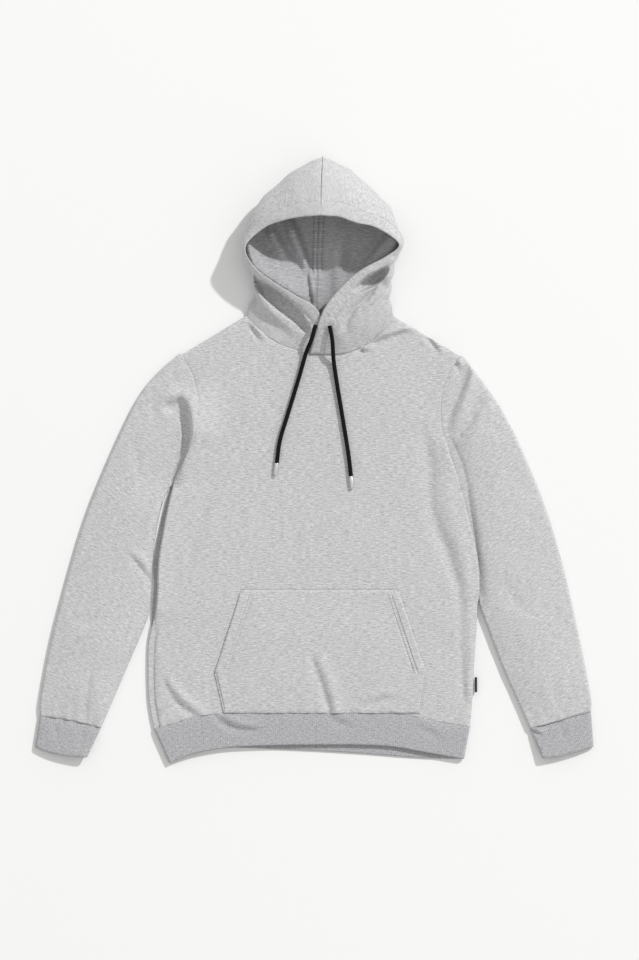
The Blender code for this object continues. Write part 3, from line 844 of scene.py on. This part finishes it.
RIGHT_SLEEVE_CREASES = (
    # from the shoulder down beside the armhole
    Crease(-1.9, (
        (251, 157, 4, 0), (246, 144, 5.5, 3.4), (240, 127, 6.5, 4.6), (232, 104, 6.5, 4.4),
        (222, 80, 6.5, 3.4), (216, 62, 6, 2), (212, 44, 5, 0),
    )),
    Crease(-1.6, ((221, 159, 3, 0), (227, 151, 4, 2.8), (235, 138, 3, 0))),
    # a second one outside it
    Crease(-1.3, (
        (280, 98, 5, 0), (271, 89, 6.5, 4), (259, 77, 6.5, 4.2), (250, 60, 6, 3), (236, 40, 6, 1.8),
        (228, 22, 6, 0),
    )),
    # where the body lies over the sleeve
    Crease(0, (
        (214, 46, 7, 0), (221, 16, 9, 5), (232, -14, 9, 6), (244, -60, 8, 6), (253, -110, 8, 6),
        (262, -170, 8, 6), (266, -215, 8, 5), (268, -244, 6, 0),
    )),
    Crease(0.3, ((300, 20, 10, 0), (312, -20, 12, 1.3), (330, -60, 10, 0))),
    Crease(0.3, ((300, -190, 8, 0), (322, -230, 11, 1.8), (360, -258, 8, 0))),
    Crease(0.3, ((392, -340, 7, 0), (384, -372, 8, 2), (392, -408, 6, 0))),
)

# %% Sleeves
SLEEVE_AXIS = {"left": (0.36, 0.93), "right": (-0.36, 0.93)}  # from the cuff to the shoulder
left_lines = (CUFF_SEAM_LEFT, ARMHOLE_LEFT[::-1], SLEEVE_LEFT_OUTER, SLEEVE_LEFT_INNER)
right_lines = (CUFF_SEAM_RIGHT, ARMHOLE_RIGHT, SLEEVE_RIGHT_INNER, SLEEVE_RIGHT_OUTER)
for name, (low, high, left, right), creases, seed in (
    ("left", left_lines, LEFT_SLEEVE_CREASES, 1.7), ("right", right_lines, RIGHT_SLEEVE_CREASES, 5.2)
):
    armhole = beside(smooth(high), -TUCK)
    sides = np.vstack([smooth(left), armhole[:1]]), np.vstack([smooth(right), armhole[-1:]])
    plan = patch(smooth(low), armhole, *sides)

    def sleeve_shape(share, v, place, armhole=armhole, cuff=smooth(low), creases=creases, seed=seed):
        arm, end = distance(place, [armhole]), distance(place, [cuff])
        swell = 6.5 * (1 - (2 * share - 1) ** 2) * ease(arm, 0, 90) * (0.15 + 0.85 * ease(end, 0, 70))
        dip = -2.0 * DIP * bell(arm, 3.0) - 0.5 * bell(end, 1.6)
        waves = ease(arm, 0, 25) * (uneven(place, 80, 2.0, seed) + uneven(place, 33, 0.6, seed + 4))
        gathers = gathered(place, end, 16, 0.25, 9, 2.0, seed + 1)
        return swell + dip + waves + gathers + creased(place, creases)

    tube = laid_tube(plan, plan, LAID, sleeve_shape, SLEEVE_AXIS[name])
    node = f"sleeve_{name}"
    new_cloth(
        f"{node}_cloth", tube, 200, 160, (fleece, brushed_painted_shade), node, WALL, closed=True
    )

# %% Cuffs
CUFF_CREASES = {
    "left": (
        Crease(0.3, ((-420, -424, 4, 0), (-414, -436, 5, 1.5), (-412, -452, 5, 0))),
        Crease(0.3, ((-368, -432, 4, 0), (-372, -446, 6, 1.8), (-380, -462, 5, 0))),
    ),
    "right": (
        Crease(-1.2, ((344, -435, 2.5, 1), (355, -440, 3, 2.8), (369, -446, 3, 0))),
        Crease(0.3, ((402, -424, 4, 0), (398, -440, 6, 1.6), (402, -458, 5, 0))),
    ),
}
for name, end, seam, high_side, lift in (
    ("left", CUFF_END_LEFT, CUFF_SEAM_LEFT, 1, 9.0), ("right", CUFF_END_RIGHT, CUFF_SEAM_RIGHT, 0, 6.0)
):
    low, high = smooth(end), beside(smooth(seam), -TUCK)
    plan = patch(low, high, np.array([low[0], high[0]]), np.array([low[-1], high[-1]]))

    def cuff_shape(share, v, place, high=high, creases=CUFF_CREASES[name]):
        near = distance(place, [high])
        body = 1.5 * ease(near, 0, 15) * (1 - (2 * share - 1) ** 4)
        gathers = gathered(place, near, 12, 0.25, 8, 1.6, 6.3)
        return body - 2.0 * bell(near, 3.0) + gathers - 1.0 * (v < 0.03) + creased(place, creases)

    def cuff_raised(share, v, high_side=high_side, lift=lift):
        """The cuff's end lifts off the floor toward the body."""
        return lift * (1 - v) ** 1.3 * (share if high_side else 1 - share) ** 1.6

    tube = laid_tube(plan, plan, LAID, cuff_shape, SLEEVE_AXIS[name], cuff_raised)
    node = f"cuff_{name}"
    new_cloth(f"{node}_rib", tube, 140, 40, (rib,), node, WALL, closed=True)

# %% Hem band
HEM_CREASES = (
    Crease(-0.9, (
        (-164, -408, 5, 0), (-147, -423, 6, 3), (-128, -433, 6, 3.2), (-103, -436, 5, 3), (-80, -433, 4, 0),
    )),
    Crease(-0.5, ((14, -408, 6, 0), (40, -424, 8, 2.2), (70, -434, 7, 0))),
    Crease(-0.5, ((150, -424, 6, 0), (186, -440, 8, 1.6), (214, -462, 6, 0))),
)
seam = beside(smooth(HEM_SEAM), -TUCK)
bands = []
for end in (smooth(HEM_FRONT), smooth(HEM_BACK)):
    bands.append(patch(end, seam, np.array([end[0], seam[0]]), np.array([end[-1], seam[-1]])))


def band_shape(share, v, place):
    near = distance(place, [seam])
    open_spots = 1.5 * np.maximum(uneven(place * (1, 0), 60, 2.0, 4.1), 0)
    body = 1.2 * ease(near, 0, 15) - (1.4 + open_spots) * bell(near, 3.0)
    gathers = gathered(place, near, 12, 0.2, 10, 1.4, 7.7)
    return body + gathers - 0.8 * (v < 0.03) + creased(place, HEM_CREASES)


tube = laid_tube(*bands, LAID, band_shape, (0, 1))
hem = new_cloth("hem_rib", tube, 440, 32, (rib,), "hem_band", WALL, closed=True)

# %% [markdown]
# ## The hood's cloth
#
# The two halves are the form above with their folds. The front edge is hemmed into a casing for the cord,
# which is fuller than the single cloth and ends in a furrow of stitches. On the left lap the cloth falls
# away behind the casing into a deep hollow, and on the right lap there is a smaller one. Inside, the
# brushed face shows, with a few soft folds beside the back seam, and it leans out at the sides on its way
# up to the edge.

# %% Folds of the hood
CASING = 24.0  # width of the hem that the cord runs in
EYELETS = ((1, 215), (25, 214))  # where the cord comes out, in plan
RING = (7, 2.0)  # radius and half width of the raised ring round an eyelet
SEAM_RIDGE = (5.0, 3.4, 1.8)  # height, distance and half width of the ridge beside the back seam
HEIGHT_OF_HALF = 430  # from the neck seam to the crown seam, along the knit
LAP_CREASES = (
    # left: the hollow behind the edge, and the bank outside it
    Crease(0, (
        (-99, 289, 5, 0), (-91, 281, 7, 20), (-77, 269, 10, 32), (-62, 257, 11.5, 36), (-49, 246, 11.5, 36),
        (-37, 236, 11, 32), (-27, 226, 9.5, 26), (-17, 212, 6.5, 18), (-8, 199, 4, 0),
    ), 6),
    Crease(0, (
        (-106, 258, 7, 0), (-92, 248, 8, -4), (-70, 233, 8, -5), (-50, 218, 8, -4), (-30, 202, 7, -2),
        (-14, 190, 6, 0),
    )),
    # small wrinkles that run to the left eyelet
    Crease(0.6, ((-38, 252, 3, 0), (-24, 240, 3.5, 4), (-10, 226, 3, 3), (-3, 216, 3, 0))),
    Crease(0.6, ((-34, 222, 3, 0), (-20, 218, 3, 4), (-8, 214, 3, 3), (0, 212, 3, 0))),
    # right: the hollow beside the casing and the fold that runs down from it
    Crease(0, (
        (118, 304, 4, 0), (111, 298, 6, 20), (102, 290, 8, 30), (92, 284, 9, 30), (82, 278, 8, 26),
        (72, 272, 6, 14), (63, 266, 4, 0),
    ), 5),
    Crease(0, ((128, 322, 6, 0), (124, 307, 7, -7), (118, 290, 7, -8), (113, 276, 6, 0))),
    Crease(-0.7, (
        (102, 280, 4, 0), (93, 266, 4, 6), (80, 252, 4, 5), (68, 243, 4, 4), (57, 229, 6, 3.5),
        (51, 213, 7, 3), (52, 194, 6, 0),
    )),
    Crease(0, ((106, 249, 3, 0), (115, 255, 3, 3), (125, 259, 3, 1.5))),
)
LINING_CREASES = (
    # the left side's inner face, which leans out and rises to the edge
    Crease(0, (
        (-114, 365, 4, -12), (-108, 338, 4, -25), (-94, 306.5, 4.5, -35), (-61.5, 280.5, 4.5, -41),
        (-29.5, 261.5, 4, -32), (-8, 247, 3.5, -16), (9, 236, 3, 0),
    ), 2, 8),
    # two soft folds with a dark valley between them, and a narrow one beside the back seam
    Crease(0, (
        (-76, 400, 7, 0), (-68, 360, 7, -14), (-55, 338, 7, -12), (-44, 318, 6, -4), (-38, 300, 5, 0),
    )),
    Crease(0, (
        (-50, 402, 7, 0), (-36, 366, 7, -17), (-25, 340, 7, -17), (-16, 316, 6, -15), (-13, 292, 5, 0),
    )),
    Crease(0, ((-8, 304, 3, 0), (-4, 288, 3.5, -12), (-1.5, 268, 3.5, -12), (1, 250, 3, 0))),
    Crease(0, ((46, 380, 14, 0), (42, 340, 12, -7), (38, 306, 10, -7), (38, 270, 9, -4), (38, 248, 8, 0))),
    # the right side's inner face
    Crease(0, (
        (134, 368, 9, 0), (125, 350, 12, -22), (114, 334, 12, -24), (98, 319, 9, -20), (82, 306, 6, -10),
        (66, 290, 5, 0),
    ), 4),
)

# %% Hood halves
hood_forms = {}
for name, rows, side in (("left", HOOD_LEFT, -1), ("right", HOOD_RIGHT, 1)):
    surface = hood_surface(rows)
    sections = section_lengths(rows)
    folds = np.array([length_of(smooth((row.seam, row.floor, row.side))) for row in rows]) / sections

    def hood_form(a, b, surface=surface, sections=sections, folds=folds, side=side):
        """Outside of the half with its folds, at a and b on the form, and its distances along the knit."""
        section = at_rows(sections, b)
        edge, seam = (1 - a) * section, a * section
        points = surface(a, b)
        points[:, 0] += side * (0.1 + 0.25 * ease(edge, 18, 26))
        turn = at_rows(folds, b)
        outer = ease(a, turn, turn + 0.12)
        casing = 0.9 * (1 - ease(edge, CASING - 3, CASING)) - 0.9 * bell(edge - CASING, 1.6)
        casing *= 1 - 0.75 * ease(b, 0.55, 0.8)
        roll = -2.6 * (1 - rounded(edge / 4.0))
        rings = sum(bell(np.hypot(points[:, 0] - x, points[:, 1] - y) - RING[0], RING[1]) for x, y in EYELETS)
        puckers = 1.3 * rings + bell(edge - CASING, 6) * uneven(points[:, :2], 7, 1.0, 9.9)
        lap = casing + puckers + creased(points[:, :2], LAP_CREASES) * (1 - ease(b, 0.5, 0.62))
        height, middle, width = SEAM_RIDGE
        lining = creased(points[:, :2], LINING_CREASES) + height * bell(seam - middle, width) * (b < 0.9)
        points[:, 2] += outer * (lap + roll) + (1 - ease(a, turn - 0.06, turn + 0.02)) * lining
        inside = ease(a, 0.05, 0.2) * (1 - ease(a, 0.85, 0.95)) * ease(b, 0, 0.06) * (1 - ease(b, 0.93, 1))
        points[:, 2] += inside * uneven(points[:, :2], 42, 2.2, 12.5 + side)
        points[:, 2] = np.maximum(points[:, 2], 6 * outer)
        return points, np.column_stack([seam, b * HEIGHT_OF_HALF])

    def hood_place(u, v, form=hood_form, side=side):
        return form((u if side < 0 else 1 - u) ** 0.9, v)

    hood_forms[name] = hood_form
    new_cloth(
        f"hood_{name}_cloth", hood_place, 190, 170, (fleece, brushed_painted_shade), f"hood_{name}", WALL
    )

# %% [markdown]
# ## The drawcord
#
# A round braided cord, 6.6 mm thick, that comes out of an eyelet in each side of the hood's casing and lies
# down the front, with a metal tip pressed on its end. Its route follows the frame's own, but for its start,
# which sinks into the eyelet.

# %% Cord routes
CORD = 6.6  # diameter
CORD_POINTS = 38  # of the curve
GAP = 0.8  # between the cord and the cloth that it lies on
Stop = namedtuple("Stop", "x y lift")
CORD_LEFT = (
    Stop(2, 213, -3.5), Stop(0, 206, 0.5), Stop(-5, 188, 4), Stop(-12.5, 171, 4), Stop(-25, 128, 0),
    Stop(-42, 72, 0), Stop(-55, 29, 0), Stop(-60, -8, 0),
)
CORD_RIGHT = (
    Stop(24.5, 212, -3.5), Stop(26, 205, 0.5), Stop(29, 188, 5), Stop(30, 171, 8), Stop(31.5, 153, 3),
    Stop(38, 110, 0), Stop(48, 50, 0), Stop(55, 5, 0), Stop(59, -29, 0),
)


def hood_height(plan):
    """Height of the hood's outside near its lap, from the nearest place on either half."""
    a, b = [axis.ravel() for axis in np.meshgrid(np.linspace(0.6, 1, 40), np.linspace(0, 0.3, 40))]
    surface = np.vstack([hood_surface(rows)(a, b) for rows in (HOOD_LEFT, HOOD_RIGHT)])
    nearest = [surface[np.hypot(*(surface[:, :2] - place).T) < 5.0] for place in plan]
    return np.array([found[:, 2].max() if len(found) else 0.0 for found in nearest])


def cord_line(route):
    """Centre line of a drawcord end, on the hood and then on the front panel."""
    plan = np.array([(stop.x, stop.y) for stop in route], float)
    lift = np.array([stop.lift for stop in route])
    below = np.maximum(front_height(plan), hood_height(plan))
    line = smooth(np.column_stack([plan, below + lift + CORD / 2 + GAP]))
    return by_share(line)(np.linspace(0, 1, CORD_POINTS))


# %% Cord material
# soft matt yarn
yarn = {"Base Color": linear("#0E0E0F"), "Roughness": 0.85, "Specular IOR Level": 0.2}
braid, tree, shader = new_material("black_polyester_braid", yarn)
place = add(tree, "ShaderNodeTexCoord").outputs["Object"]
links = {"Vector": place, "Scale": 150.0, "Distortion": 2.0}
weave = add(tree, "ShaderNodeTexWave", links, bands_direction="DIAGONAL")
add_bump(tree, shader, weave.outputs["Fac"], 0.6, 0.0006)

# %% Metal tips
# bright plated sheet with a slightly uneven face
plate = {"Base Color": linear("#E6E4E0"), "Metallic": 1.0, "Roughness": 0.34}
steel, tree, shader = new_material("pressed_nickel_plate", plate)
place = add(tree, "ShaderNodeTexCoord").outputs["Object"]
dents = add(tree, "ShaderNodeTexNoise", {"Vector": place, "Scale": 400.0, "Detail": 2.0})
add_bump(tree, shader, dents.outputs["Fac"], 0.3, 0.0003)

TIP = (
    (0, 2.4), (0, 3.3), (0.6, 3.5), (1.4, 3.3), (2.2, 3.0), (3.2, 3.3), (15, 3.1), (18.6, 2.7), (19.6, 2.1),
    (20, 1.2),
)


def new_tip(name, start, direction):
    """A pressed tip: its profile (distance along, radius) in mm is spun about the cord's direction."""
    bm = bmesh.new()
    line = [bm.verts.new((radius * MM, 0, along * MM)) for along, radius in TIP]
    edges = [bm.edges.new(pair) for pair in zip(line, line[1:])]
    bmesh.ops.spin(bm, geom=line + edges, cent=(0, 0, 0), axis=(0, 0, 1), angle=6.28318, steps=28)
    bmesh.ops.remove_doubles(bm, verts=bm.verts, dist=0.00001)
    bmesh.ops.holes_fill(bm, edges=bm.edges, sides=40)
    bmesh.ops.recalc_face_normals(bm, faces=bm.faces)
    turn = Vector(direction).to_track_quat("Z", "Y").to_matrix().to_4x4()
    bmesh.ops.transform(bm, matrix=Matrix.Translation(Vector(start)) @ turn, verts=bm.verts)
    tip = put_in(name, finished(name, bm), steel)
    bevel = tip.modifiers.new("Soft edges", "BEVEL")
    bevel.width = 0.15 * MM
    bevel.segments = 2
    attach(tip, "root")
    return tip


# %% Cords
for name, route in (("left", CORD_LEFT), ("right", CORD_RIGHT)):
    line = cord_line(route) - (0, CENTRE_Y, 0)
    curve = bpy.data.curves.new(f"cord_{name}", "CURVE")
    curve.dimensions = "3D"
    curve.bevel_depth = CORD / 2 * MM
    curve.bevel_resolution = 4
    curve.use_fill_caps = True
    spline = curve.splines.new("NURBS")
    spline.points.add(len(line) - 1)
    for point, place in zip(spline.points, line * MM):
        point.co = (*place, 1)
    spline.order_u = 3
    spline.use_endpoint_u = True
    cord = put_in(f"cord_{name}", curve, braid)
    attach(cord, "root")
    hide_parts(f"drawcord_{name}")
    direction = line[-1] - line[-3]
    direction[2] = 0
    direction /= np.linalg.norm(direction)
    tip = new_tip(f"tip_{name}", (line[-1] - 0.5 * direction) * MM, direction)
    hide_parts(f"aglet_{name}")
    print(f"drawcord {name}: {length_of(line):.0f} mm")

# %% [markdown]
# ## The side label
#
# A short woven tape folded in two and caught in the side seam, black and plain.

# %% Label
LABEL = (257.3, 261.3, -375.0, -351.0)  # seam, fold, lower end and upper end
LABEL_HEIGHT = (3.9, 5.3)  # of its two layers, which lie against the side seam
# close satin weave: dark, with a soft gloss
woven = {"Base Color": linear("#161617"), "Roughness": 0.55}
satin, tree, shader = new_material("black_woven_label_tape", woven)
knit = add(tree, "ShaderNodeUVMap", uv_map="Knit").outputs["UV"]
picks = add(tree, "ShaderNodeTexWave", {"Vector": knit, "Scale": 900.0}, bands_direction="Y")
add_bump(tree, shader, picks.outputs["Fac"], 0.3, 0.0002)


def label_place(u, v):
    """From the seam along the top layer, round the fold and back below."""
    low, high = LABEL_HEIGHT
    radius = (high - low) / 2
    straight = LABEL[1] - LABEL[0] - radius
    run = u * (2 * straight + np.pi * radius)
    angle = np.clip((run - straight) / radius, 0, np.pi)
    back = np.clip(run - straight - np.pi * radius, 0, None)
    x = LABEL[0] + np.clip(run, 0, straight) + radius * np.sin(angle) - back
    z = low + radius + radius * np.cos(angle)
    y = LABEL[2] + (LABEL[3] - LABEL[2]) * v
    return np.column_stack([x, y, z]), np.column_stack([run, y])


label = new_cloth("side_label_tape", label_place, 24, 30, (satin,), "side_label", 0.35)

# %% [markdown]
# ## Stitches
#
# Two rows hold each hand opening's hem, single rows hold the pocket on at its top and lower sides, and one
# closes the casing. Each stitch is a small capsule of thread that lies in its furrow, and one starts every
# 3 mm or so, as on a sewing machine.

# %% Stitches
STITCH = (2.4, 0.65)  # length and thickness
PITCH = 3.1  # from stitch to stitch

# smooth thread, a little glossier than the cloth
spun = {"Base Color": linear("#A9A9AB"), "Roughness": 0.6, "Sheen Weight": 0.1}
thread = new_material("spun_polyester_thread", spun)[0]


def stitch_rows(name, rows):
    """One piece with a capsule for each stitch along each row, which is a dense line in space."""
    bm = bmesh.new()
    for row in rows:
        count = int(length_of(row) / PITCH)
        places = by_share(row)(np.linspace(0, 1, 2 * count + 1))
        for start, end in zip(places[0:-1:2], places[1::2]):
            middle = Vector((start + end) / 2 - (0, CENTRE_Y, 0)) * MM
            turn = Vector(end - start).to_track_quat("Z", "Y").to_matrix().to_4x4()
            size = Matrix.Diagonal((STITCH[1] / 2 * MM, STITCH[1] / 2 * MM, STITCH[0] / 2 * MM, 1))
            matrix = Matrix.Translation(middle) @ turn @ size
            bmesh.ops.create_uvsphere(bm, u_segments=6, v_segments=5, radius=1, matrix=matrix)
    piece = put_in(name, finished(name, bm), thread)
    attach(piece, "root")
    print(f"{name}: {len(piece.data.polygons)} faces")


def on_pocket(places):
    """A line in plan as a dense line that lies on the pocket."""
    plan = by_share(np.array(places, float))(np.linspace(0, 1, 120))
    return np.column_stack([plan, pocket_height(plan) + 0.1])


top, middle, bottom = POCKET[2], POCKET[1], POCKET[0]
rows = [on_pocket(((top.left + 2, top.height - SEWN), (top.right - 2, top.height - SEWN)))]
rows.append(on_pocket(((middle.left + SEWN, middle.height), (bottom.left + SEWN, bottom.height + 2))))
rows.append(on_pocket(((middle.right - SEWN, middle.height), (bottom.right - SEWN, bottom.height + 2))))
for inset in HEM_OF_OPENING:
    rows.append(on_pocket(((middle.left + inset, middle.height + 3), (top.left + inset, top.height - 8))))
    rows.append(on_pocket(((middle.right - inset, middle.height + 3), (top.right - inset, top.height - 8))))
stitch_rows("pocket_stitches", rows)

rows = []
for name, table in (("left", HOOD_LEFT), ("right", HOOD_RIGHT)):
    b = np.linspace(0.02, 0.985, 200)
    rows.append(hood_forms[name](1 - CASING / at_rows(section_lengths(table), b), b)[0])
stitch_rows("casing_stitches", rows)

# %% [markdown]
# ## A loop over the two sides that does nothing

# %% Empty loop
for name in ("left", "right"):
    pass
